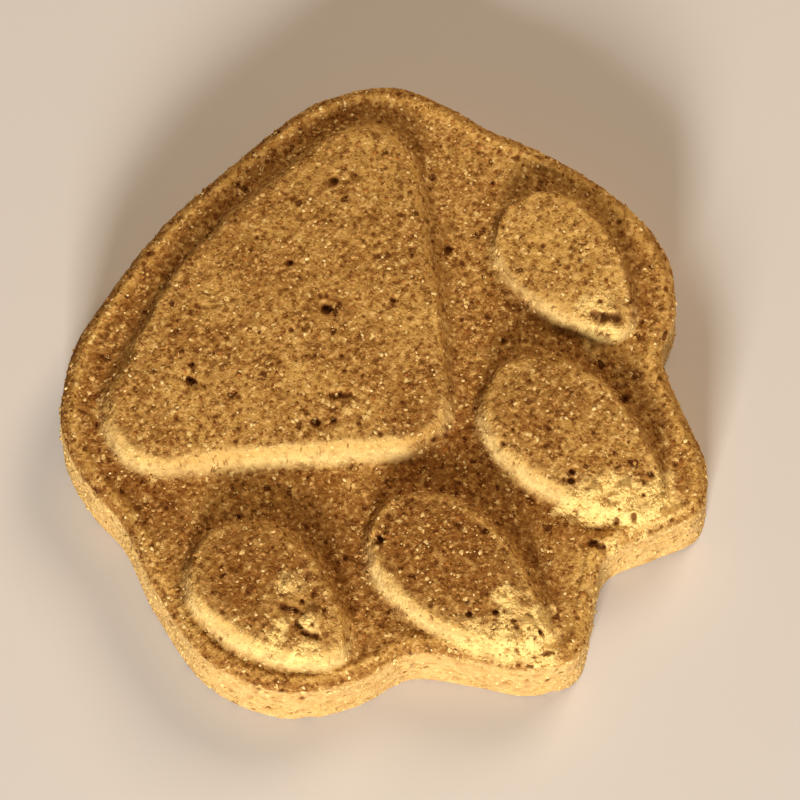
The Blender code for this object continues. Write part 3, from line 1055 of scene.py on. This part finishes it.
class Graph:
    """Adds nodes to one node tree and joins them."""

    def __init__(self, tree: bpy.types.NodeTree) -> None:
        """Keeps the tree."""
        self.tree = tree

    def feed(self, socket: Socket, value: object) -> None:
        """Joins another node's socket to an input, or sets the input.

        Args:
            socket: the input.
            value: the other socket, or a number, a vector or a colour.
        """
        if isinstance(value, bpy.types.NodeSocket):
            self.tree.links.new(value, socket)
        else:
            socket.default_value = value

    def node(self, kind: str, inputs: Mapping[str | int, object], **settings: object) -> bpy.types.Node:
        """Adds a node.

        Args:
            kind: the node's type.
            inputs: a value or another node's socket for each named or numbered input.
            **settings: the node's own settings.

        Returns:
            The node.
        """
        made = self.tree.nodes.new(kind)
        for name, value in settings.items():
            setattr(made, name, value)
        for name, value in inputs.items():
            self.feed(made.inputs[name], value)
        return made

    def math(self, operation: str, first: object, second: object = 0.0, clamp: bool = False) -> Socket:
        """The result of a sum or another operation on two values."""
        inputs = {0: first, 1: second}
        return self.node("ShaderNodeMath", inputs, operation=operation, use_clamp=clamp).outputs[0]

    def product(self, first: object, second: object) -> Socket:
        """One value times another."""
        return self.math("MULTIPLY", first, second)

    def mixed(self, values: Sequence[object], shares: Sequence[float]) -> Socket:
        """The sum of some values, each times its share."""
        parts = [self.product(value, share) for value, share in zip(values, shares, strict=True)]
        return functools.reduce(lambda total, part: self.math("ADD", total, part), parts)

    def blend(self, share: object, first: object, second: object, kind: str = "MIX") -> Socket:
        """A colour between two, or with MULTIPLY between the first and their product."""
        inputs = {0: share, 6: first, 7: second}
        return self.node("ShaderNodeMix", inputs, data_type="RGBA", blend_type=kind).outputs[2]

    def rest(self, value: object) -> Socket:
        """1 less a value."""
        return self.math("SUBTRACT", 1.0, value)

    def span(self, value: object, low: object, high: object, start: float = 0.0, end: float = 1.0) -> Socket:
        """Carries low..high to start..end, eased at both ends and level beyond them."""
        inputs = {0: value, 1: low, 2: high, 3: start, 4: end}
        return self.node("ShaderNodeMapRange", inputs, interpolation_type="SMOOTHSTEP").outputs[0]

    def remap(self, value: object, start: float, end: float) -> Socket:
        """Carries 0..1 evenly to start..end."""
        return self.node("ShaderNodeMapRange", {0: value, 1: 0.0, 2: 1.0, 3: start, 4: end}).outputs[0]

    def group(self, tree: bpy.types.NodeTree, inputs: Mapping[str, object]) -> bpy.types.Node:
        """Adds a node group."""
        return self.node("ShaderNodeGroup", inputs, node_tree=tree)

    def value_of(self, attribute: str) -> Socket:
        """The value that the surface's points carry under a name."""
        settings = {"attribute_name": attribute, "attribute_type": "GEOMETRY"}
        return self.node("ShaderNodeAttribute", {}, **settings).outputs["Fac"]

    def noise(self, vector: object, scale: object, detail: float, roughness: float) -> Socket:
        """Smooth noise, 0 to 1, with so many waves a millimetre."""
        inputs = {"Vector": vector, "Scale": scale, "Detail": detail, "Roughness": roughness}
        return self.node("ShaderNodeTexNoise", inputs).outputs["Fac"]

    def bump(self, shader: bpy.types.Node, height: Socket, rise: float, strength: float = 1.0) -> None:
        """Gives a shader the bumps of a height that stands for so many millimetres."""
        inputs = {"Height": height, "Strength": strength, "Distance": rise * MM}
        self.feed(shader.inputs["Normal"], self.node("ShaderNodeBump", inputs).outputs[0])

    def millimetres(self) -> Socket:
        """The place on the object, in millimetres."""
        place = self.node("ShaderNodeTexCoord", {}).outputs["Object"]
        return self.node("ShaderNodeMapping", {"Vector": place, "Scale": (1 / MM,) * 3}).outputs[0]


def new_group(
    name: str, inputs: Mapping[str, float | None], outputs: Sequence[str],
) -> tuple[Graph, dict[str, Socket], bpy.types.Node]:
    """Starts a node group.

    Args:
        name: the group's name.
        inputs: each input's preset value, or None for a vector.
        outputs: names of its values.

    Returns:
        Its graph, its inputs' sockets and its output node.
    """
    tree = bpy.data.node_groups.new(name, "ShaderNodeTree")
    for key, preset in inputs.items():
        kind = "NodeSocketVector" if preset is None else "NodeSocketFloat"
        socket = tree.interface.new_socket(key, in_out="INPUT", socket_type=kind)
        if preset is not None:
            socket.default_value = preset
    for key in outputs:
        tree.interface.new_socket(key, in_out="OUTPUT", socket_type="NodeSocketFloat")
    graph = Graph(tree)
    source = graph.node("NodeGroupInput", {})
    return graph, {key: source.outputs[key] for key in inputs}, graph.node("NodeGroupOutput", {})


def strewn_group(least_size: float = 0.45, waves_a_cell: float = 2.0) -> bpy.types.NodeTree:
    """Spots strewn over a surface: some cells of a random pattern have an uneven spot at the middle.

    Args:
        least_size: what is added to a cell's random number, 0 to 1, for its spot's size.
        waves_a_cell: waves of the unevenness to a cell.

    Returns:
        The node group.
    """
    presets = {"Vector": None, "Spacing": 0.5, "Share": 0.3, "Radius": 0.35, "Softness": 0.12}
    graph, given, result = new_group("strewn spots", presets, ("Spot",))
    vector, spacing = given["Vector"], given["Spacing"]
    scale = graph.math("DIVIDE", 1.0, spacing)
    wander = graph.node("ShaderNodeTexNoise", {"Vector": vector, "Scale": graph.product(waves_a_cell, scale)})
    half = {0: wander.outputs["Color"], 1: (0.5, 0.5, 0.5)}
    stray = graph.node("ShaderNodeVectorMath", half, operation="SUBTRACT").outputs[0]
    moved = graph.node("ShaderNodeVectorMath", {0: stray, "Scale": spacing}, operation="SCALE").outputs[0]
    place = graph.node("ShaderNodeVectorMath", {0: vector, 1: moved}, operation="ADD").outputs[0]
    cells = graph.node("ShaderNodeTexVoronoi", {"Vector": place, "Scale": scale, "Randomness": 1.0})
    colour = graph.node("ShaderNodeSeparateColor", {0: cells.outputs["Color"]})
    chosen = graph.math("LESS_THAN", colour.outputs[0], given["Share"])
    size = graph.product(given["Radius"], graph.math("ADD", least_size, colour.outputs[1]))
    outside = graph.span(cells.outputs["Distance"], size, graph.math("ADD", size, given["Softness"]))
    graph.feed(result.inputs["Spot"], graph.product(chosen, graph.rest(outside)))
    return graph.tree


def crumb_group(
    sand_detail: float = 3.0, sand_roughness: float = 0.65,
    heights: tuple[float, float] = (0.45, 0.80), tones: tuple[float, float] = (0.35, 0.65),
) -> bpy.types.NodeTree:
    """The crumb's grain: beads of random tone over sandy noise, as a height and a tone.

    Args:
        sand_detail: layers of the sandy noise.
        sand_roughness: how much of its height each layer keeps from the one before.
        heights: shares of the beads and of the sand in the height.
        tones: shares of the beads and of the sand in the tone.

    Returns:
        The node group.
    """
    graph, given, result = new_group("fine crumb", {"Vector": None, "Grain": 0.3}, ("Height", "Tone"))
    scale = graph.math("DIVIDE", 1.0, given["Grain"])
    sand = graph.noise(given["Vector"], scale, sand_detail, sand_roughness)
    cells = graph.node("ShaderNodeTexVoronoi", {"Vector": given["Vector"], "Scale": scale})
    tone = graph.node("ShaderNodeSeparateColor", {0: cells.outputs["Color"]}).outputs[0]
    bead = graph.rest(cells.outputs["Distance"])
    graph.feed(result.inputs["Height"], graph.mixed((bead, sand), heights))
    graph.feed(result.inputs["Tone"], graph.mixed((tone, sand), tones))
    return graph.tree


@dataclass(frozen=True)
class Groups:
    """The node groups that the finishes share."""

    strewn: bpy.types.NodeTree
    crumb: bpy.types.NodeTree


def new_material(name: str) -> tuple[bpy.types.Material, Graph, bpy.types.Node]:
    """A material with its Principled shader.

    Args:
        name: the material's name.

    Returns:
        The material, its graph and its shader.
    """
    material = bpy.data.materials.new(name)
    material.use_nodes = True
    return material, Graph(material.node_tree), material.node_tree.nodes["Principled BSDF"]


def finish_shader(shader: bpy.types.Node, roughness: float, specular: float) -> None:
    """Sets how rough and how shiny a finish is."""
    shader.inputs["Roughness"].default_value = roughness
    shader.inputs["Specular IOR Level"].default_value = specular


@dataclass(frozen=True)
class Spots:
    """One kind of spot in the crust: spacing, share of the cells, radius and how much of its colour shows."""

    spacing: float
    share: float
    radius: float
    strength: float

    def mask(self, graph: Graph, groups: Groups, place: Socket) -> Socket:
        """How far inside a spot a place is, 0 to 1."""
        inputs = {"Vector": place, "Spacing": self.spacing, "Share": self.share, "Radius": self.radius}
        return graph.group(groups.strewn, inputs).outputs["Spot"]


class Zone(Enum):
    """The zones in the order they are laid on: value, colour, least and greatest share of it that shows."""

    # Darker patches, partly browned and partly painted shade, then paler ones, partly faded and partly
    # painted light
    BROWNED = ("browned", (0.240, 0.088, 0.014, 1), 0.80, 0.80)
    FADED = ("faded", (0.680, 0.410, 0.110, 1), 0.60, 0.60)
    # Painted shade in the grooves round the pads and toes
    GROOVE = ("groove", (0.235, 0.086, 0.014, 1), 0.42, 0.42)
    WALL = ("wall", (0.720, 0.480, 0.190, 1), 0.35, 0.88)
    # Pale flanks, partly rubbed and partly painted light on the side that faces the main light
    FLANK = ("flank", (0.860, 0.620, 0.250, 1), 0.60, 1.00)
    # Painted highlight along the flanks' upper edges and the lip round the slab
    RIM = ("rim", (0.680, 0.390, 0.100, 1), 0.50, 0.70)
    TORN = ("torn", (0.980, 0.730, 0.280, 1), 0.65, 1.00)
    UNDER = ("under", (0.420, 0.235, 0.085, 1), 0.70, 0.70)


@dataclass(frozen=True)
class CrustFinish:
    """Baked whole-grain crust: golden brown, with painted shade in its grooves and pits, paler where torn,
    full of specks, and painted light on its lit flanks and upper edges.
    """

    base: Colour = (0.425, 0.216, 0.052, 1)
    pale: Colour = (0.570, 0.325, 0.085, 1)
    deep: Colour = (0.240, 0.088, 0.014, 1)
    light_grain: Colour = (0.780, 0.480, 0.160, 1)
    cream: Colour = (0.950, 0.660, 0.260, 1)
    # The patches and the blotches of the zones, each noise of some waves a millimetre and a roughness
    patch_noise: tuple[float, float] = (0.26, 0.60)
    blotch_noise: tuple[float, float] = (0.70, 0.65)
    middle_noise: tuple[float, float] = (1.60, 0.65)
    noise_detail: float = 3.0
    # From where to where in its noise each of them changes, and its shares there
    pale_patch: Span = (0.50, 0.62, 0.0, 0.60)
    deep_patch: Span = (0.38, 0.50, 0.40, 0.0)
    blotches: Span = (0.30, 0.62, 0.0, 1.0)
    light_grains: Span = (0.51, 0.62, 0.0, 0.70)
    dark_grains: Span = (0.37, 0.48, 0.50, 0.0)
    # The pits, pores and cracks darkened by their depth, as painted shade
    pits: Span = (0.12, 0.90, 0.0, 0.74)
    cream_spots: Spots = Spots(0.62, 0.30, 0.22, 0.75)
    bran_spots: Spots = Spots(1.10, 0.32, 0.24, 0.42)
    fine_spots: Spots = Spots(0.60, 0.24, 0.30, 0.36)
    # The holes are dark spots of painted shade over a dip in the bump
    holes: Spots = Spots(1.5, 0.16, 0.17, 0.66)
    grain: float = 0.38
    # Shares of the grain and of the middle noise in the tone
    tones: tuple[float, float] = (0.35, 0.65)
    # Grain left where the crust is plain, how plain torn crumb is, and light grain left in the darker
    # patches, which are partly browned and partly painted shade
    plain_left: float = 0.30
    torn_plainness: float = 0.55
    browned_and_shaded_left: float = 0.55
    # What darkens the red by a share darkens the green and blue by these powers of it
    green_power: float = 1.35
    blue_power: float = 1.60
    # Heights of the grain, the middle noise, the holes, the bran and the cream, in bump heights
    heights: tuple[float, ...] = (0.8, 2.0, -1.2, -0.4, 0.3)
    bump_height: float = 0.12
    roughness: float = 0.86
    specular: float = 0.1

    def ground(self, graph: Graph, place: Socket) -> Socket:
        """The crust's colour without its grain: paler and browner patches, then each zone.

        Args:
            graph: the material's graph.
            place: the place in millimetres.

        Returns:
            The colour.
        """
        patch, blotch = (
            graph.noise(place, waves, self.noise_detail, roughness)
            for waves, roughness in (self.patch_noise, self.blotch_noise)
        )
        colour = graph.blend(graph.span(patch, *self.pale_patch), self.base, self.pale)
        colour = graph.blend(graph.span(patch, *self.deep_patch), colour, self.deep)
        blotch = graph.span(blotch, *self.blotches)
        for zone in Zone:
            name, tint, least, most = zone.value
            share = graph.product(graph.value_of(name), graph.remap(blotch, least, most))
            colour = graph.blend(share, colour, tint)
        return colour

    def darkness(self, graph: Graph, depths: Sequence[Socket]) -> Socket:
        """The colour that another is multiplied by: what the depths leave of 1, and its powers.

        Args:
            graph: the material's graph.
            depths: what each mark takes of the red, 0 to 1.

        Returns:
            The colour.
        """
        left = functools.reduce(graph.product, [graph.rest(depth) for depth in depths])
        powers = {0: left, 1: graph.math("POWER", left, self.green_power),
                  2: graph.math("POWER", left, self.blue_power)}
        return graph.node("ShaderNodeCombineColor", powers).outputs[0]

    def build(self, groups: Groups) -> bpy.types.Material:
        """Makes the material.

        Args:
            groups: the shared node groups.

        Returns:
            The material.
        """
        material, graph, shader = new_material("baked crust")
        place = graph.millimetres()
        crumb = graph.group(groups.crumb, {"Vector": place, "Grain": self.grain})
        waves, roughness = self.middle_noise
        middle = graph.noise(place, waves, self.noise_detail, roughness)
        tone = graph.mixed((crumb.outputs["Tone"], middle), self.tones)
        plain = graph.math("MAXIMUM", graph.value_of("wall"), graph.value_of("flank"))
        plain = graph.math("MAXIMUM", plain, graph.product(graph.value_of("torn"), self.torn_plainness))
        busy = graph.remap(plain, 1.0, self.plain_left)
        cream, bran, fine, hole = (
            spots.mask(graph, groups, place)
            for spots in (self.cream_spots, self.bran_spots, self.fine_spots, self.holes)
        )

        lighter = graph.product(graph.span(tone, *self.light_grains), busy)
        lighter = graph.product(lighter, graph.remap(graph.value_of("browned"), 1.0, self.browned_and_shaded_left))
        colour = graph.blend(lighter, self.ground(graph, place), self.light_grain)
        # The dark grains, bran and fine specks are the crumb's own colour; the holes are painted shade
        depths = [graph.span(tone, *self.dark_grains), graph.product(bran, self.bran_spots.strength),
                  graph.product(fine, self.fine_spots.strength), graph.product(hole, self.holes.strength)]
        depths = [graph.product(depth, busy) for depth in depths]
        # Painted shade in the pits, pores and cracks
        depths.append(graph.span(graph.value_of("pit"), *self.pits))
        colour = graph.blend(1.0, colour, self.darkness(graph, depths), "MULTIPLY")
        colour = graph.blend(graph.product(cream, self.cream_spots.strength), colour, self.cream)
        graph.feed(shader.inputs["Base Color"], colour)

        height = graph.mixed((crumb.outputs["Height"], middle, hole, bran, cream), self.heights)
        graph.bump(shader, height, self.bump_height)
        finish_shader(shader, self.roughness, self.specular)
        return material


@dataclass(frozen=True)
class GrainFinish:
    """One kind of grain, each between two colours by its own tone, and paler on torn crumb and on flanks,
    where the pale is partly painted light.
    """

    name: str
    first: Colour
    second: Colour
    roughness: float
    specular: float = 0.1
    pale: Colour = (0.940, 0.670, 0.245, 1)
    pale_share: float = 0.85
    grain: float = 0.12
    bump_height: float = 0.05
    bump_strength: float = 0.6

    def build(self, groups: Groups) -> bpy.types.Material:
        """Makes the material.

        Args:
            groups: the shared node groups.

        Returns:
            The material.
        """
        material, graph, shader = new_material(self.name)
        crumb = graph.group(groups.crumb, {"Vector": graph.millimetres(), "Grain": self.grain})
        stray = graph.math("SUBTRACT", crumb.outputs["Tone"], 0.5)
        share = graph.math("ADD", graph.value_of("tone"), stray, clamp=True)
        colour = graph.blend(share, self.first, self.second)
        colour = graph.blend(graph.product(graph.value_of("pale"), self.pale_share), colour, self.pale)
        graph.feed(shader.inputs["Base Color"], colour)
        graph.bump(shader, crumb.outputs["Height"], self.bump_height, self.bump_strength)
        finish_shader(shader, self.roughness, self.specular)
        return material


GRAIN_FINISHES = {
    GrainKind.CREAM: GrainFinish("cream grain", (0.66, 0.40, 0.13, 1), (0.95, 0.72, 0.34, 1), 0.8),
    GrainKind.BRAN: GrainFinish("bran", (0.20, 0.062, 0.011, 1), (0.42, 0.17, 0.035, 1), 0.8),
    GrainKind.CRUMB: GrainFinish("crust crumb", (0.33, 0.15, 0.036, 1), (0.56, 0.30, 0.09, 1), 0.85),
}


def way_to(azimuth: float, elevation: float) -> Vector:
    """The way from the object to something seen from an azimuth and an elevation in degrees."""
    a, e = math.radians(azimuth), math.radians(elevation)
    return Vector((math.sin(a) * math.cos(e), -math.cos(a) * math.cos(e), math.sin(e)))


def add_facing(name: str, data: bpy.types.ID, way: Vector, place: Vector) -> bpy.types.Object:
    """Puts a lamp or a camera at a place, so that it looks back along a way.

    Args:
        name: the object's name.
        data: the lamp or the camera.
        way: from what it looks at towards it.
        place: where it stands, in metres.

    Returns:
        The object.
    """
    holder = bpy.data.objects.new(name, data)
    holder.location = place
    holder.rotation_euler = way.to_track_quat("Z", "Y").to_euler()
    bpy.context.scene.collection.objects.link(holder)
    return holder


@dataclass(frozen=True)
class SoftLight:
    """A square soft light on the biscuit, its distance and side in metres and its power in watts."""

    name: str
    azimuth: float
    elevation: float
    distance: float
    size: float
    power: float
    colour: tuple[float, float, float]

    def build(self) -> None:
        """Makes the light."""
        lamp = bpy.data.lights.new(self.name, "AREA")
        lamp.size, lamp.energy, lamp.color = self.size, self.power, self.colour
        way = way_to(self.azimuth, self.elevation)
        add_facing(self.name, lamp, way, way * self.distance)


@dataclass
class Studio:
    """The plain pale floor, the soft lights and the camera."""

    floor_radius: float = 1.5
    floor_sides: int = 64
    floor_level: float = -0.02
    floor_colour: Colour = (0.68, 0.645, 0.63, 1)
    floor_roughness: float = 0.8
    floor_specular: float = 0.2
    # The main light stands low and a little to the left of the camera, the fill high behind on the right
    lights: tuple[SoftLight, ...] = (
        SoftLight("main light", 122, 22, 0.8, 0.20, 9.0, (1.0, 0.96, 0.87)),
        SoftLight("fill light", 272, 47, 0.9, 0.4, 4.4, (1.0, 0.80, 0.58)),
    )
    air_colour: Colour = (1.0, 0.78, 0.56, 1)
    air_strength: float = 0.15
    azimuth: float = 130.0
    elevation: float = 70.0
    lens: float = 200.0
    distance: float = 0.40
    aim: tuple[float, float, float] = (-0.61, 0.22, 8.4)
    clip: tuple[float, float] = (0.01, 10.0)

    def build_floor(self) -> None:
        """A round floor just under the biscuit."""
        ring = even_turns(self.floor_sides)[1] * self.floor_radius
        points = np.insert(ring, 2, self.floor_level * MM, axis=1)
        mesh = bpy.data.meshes.new("floor")
        mesh.from_pydata(points.tolist(), [], [range(self.floor_sides)])
        material, _, shader = new_material("pale floor")
        shader.inputs["Base Color"].default_value = self.floor_colour
        finish_shader(shader, self.floor_roughness, self.floor_specular)
        mesh.materials.append(material)
        floor = bpy.data.objects.new("floor", mesh)
        bpy.context.scene.collection.objects.link(floor)

    def build_air(self) -> None:
        """Weak warm light from all round."""
        world = bpy.data.worlds.new("pale air")
        world.use_nodes = True
        air = world.node_tree.nodes["Background"]
        air.inputs["Color"].default_value = self.air_colour
        air.inputs["Strength"].default_value = self.air_strength
        bpy.context.scene.world = world

    def build_camera(self) -> None:
        """The camera at the photograph's angle."""
        data = bpy.data.cameras.new("camera")
        data.lens = self.lens
        data.clip_start, data.clip_end = self.clip
        way = way_to(self.azimuth, self.elevation)
        place = Vector(self.aim) * MM + way * self.distance
        bpy.context.scene.camera = add_facing("camera", data, way, place)

    def build(self) -> None:
        """Makes all of it, and shows colours as they are."""
        self.build_floor()
        for light in self.lights:
            light.build()
        self.build_air()
        self.build_camera()
        bpy.context.scene.view_settings.view_transform = "Standard"


def main() -> None:
    """Builds and dresses the biscuit, then the studio."""
    logging.basicConfig(level=logging.INFO, format="%(name)s: %(message)s")
    groups = Groups(strewn_group(), crumb_group())
    crust = Crust().build()
    piece = add_piece("biscuit_crust", crust.into_mesh("biscuit_crust"), CrustFinish().build(groups))
    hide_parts("biscuit")
    pieces = [piece]
    for number, kind in enumerate(GrainKind):
        name = kind.value[0]
        grains = Grains(kind, FIRST_GRAIN_SEED + number).build(crust)
        pieces.append(add_piece(name, grains.into_mesh(name), GRAIN_FINISHES[kind].build(groups)))
    for piece in pieces:
        log.info("%s: %d faces", piece.name, len(piece.data.polygons))
    Studio().build()


if __name__ == "__main__":
    main()
